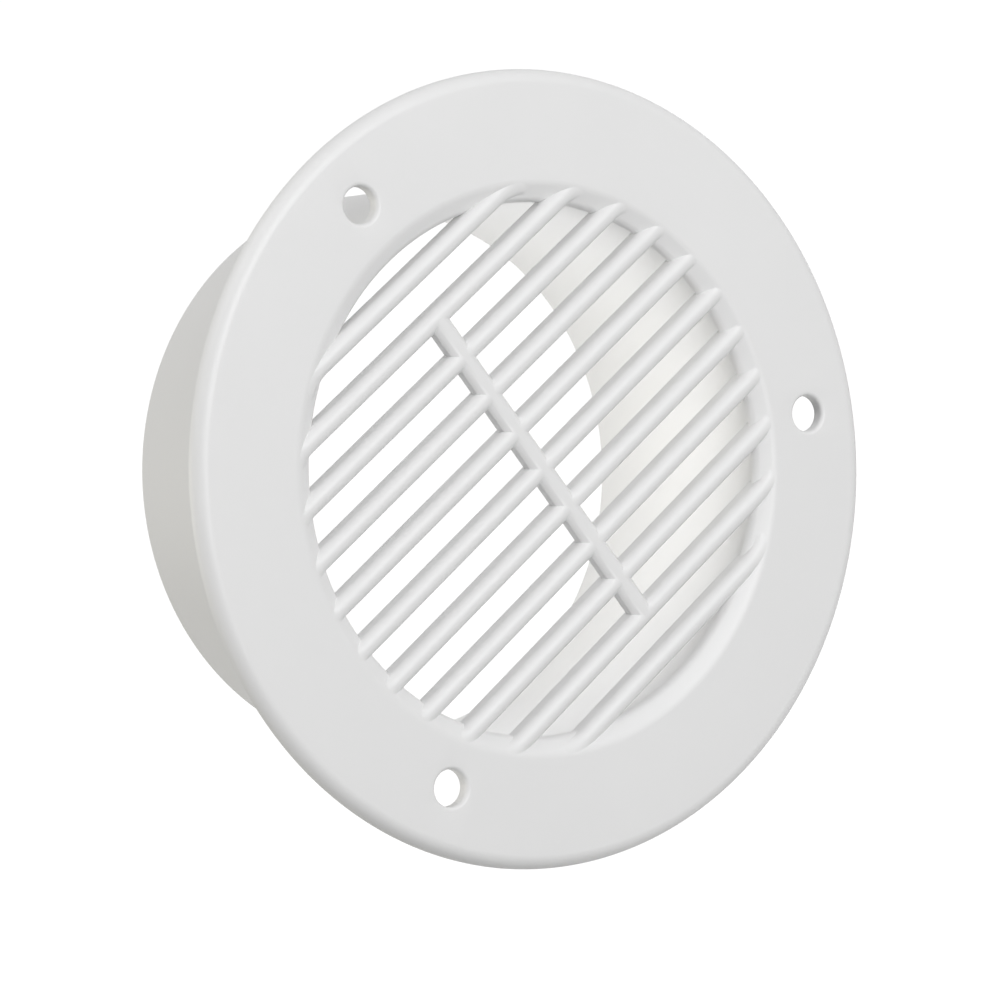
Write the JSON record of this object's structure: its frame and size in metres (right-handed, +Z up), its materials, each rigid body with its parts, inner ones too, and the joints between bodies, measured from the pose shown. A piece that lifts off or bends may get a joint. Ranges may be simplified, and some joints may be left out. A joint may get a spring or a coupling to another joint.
{
  "type": "tube air vent",
  "caption": "Round white moulded air vent with a flat screw flange, a slatted mouth tied by a cross rib, and a plain hose spigot behind.",
  "frame": {"origin": "on the tube's axis, in the plane of the flange's back face, which seats on the panel", "axes": "+Y runs down the tube, away from the face; +Z is up, towards the top screw hole; +X lies along the level slats"},
  "size_m": [0.1038, 0.0395, 0.1038],
  "materials": {
    "white_plastic": "satin white moulded plastic"
  },
  "bodies": {
    "root": {"vent_body": "white_plastic"}
  },
  "joints": []
}
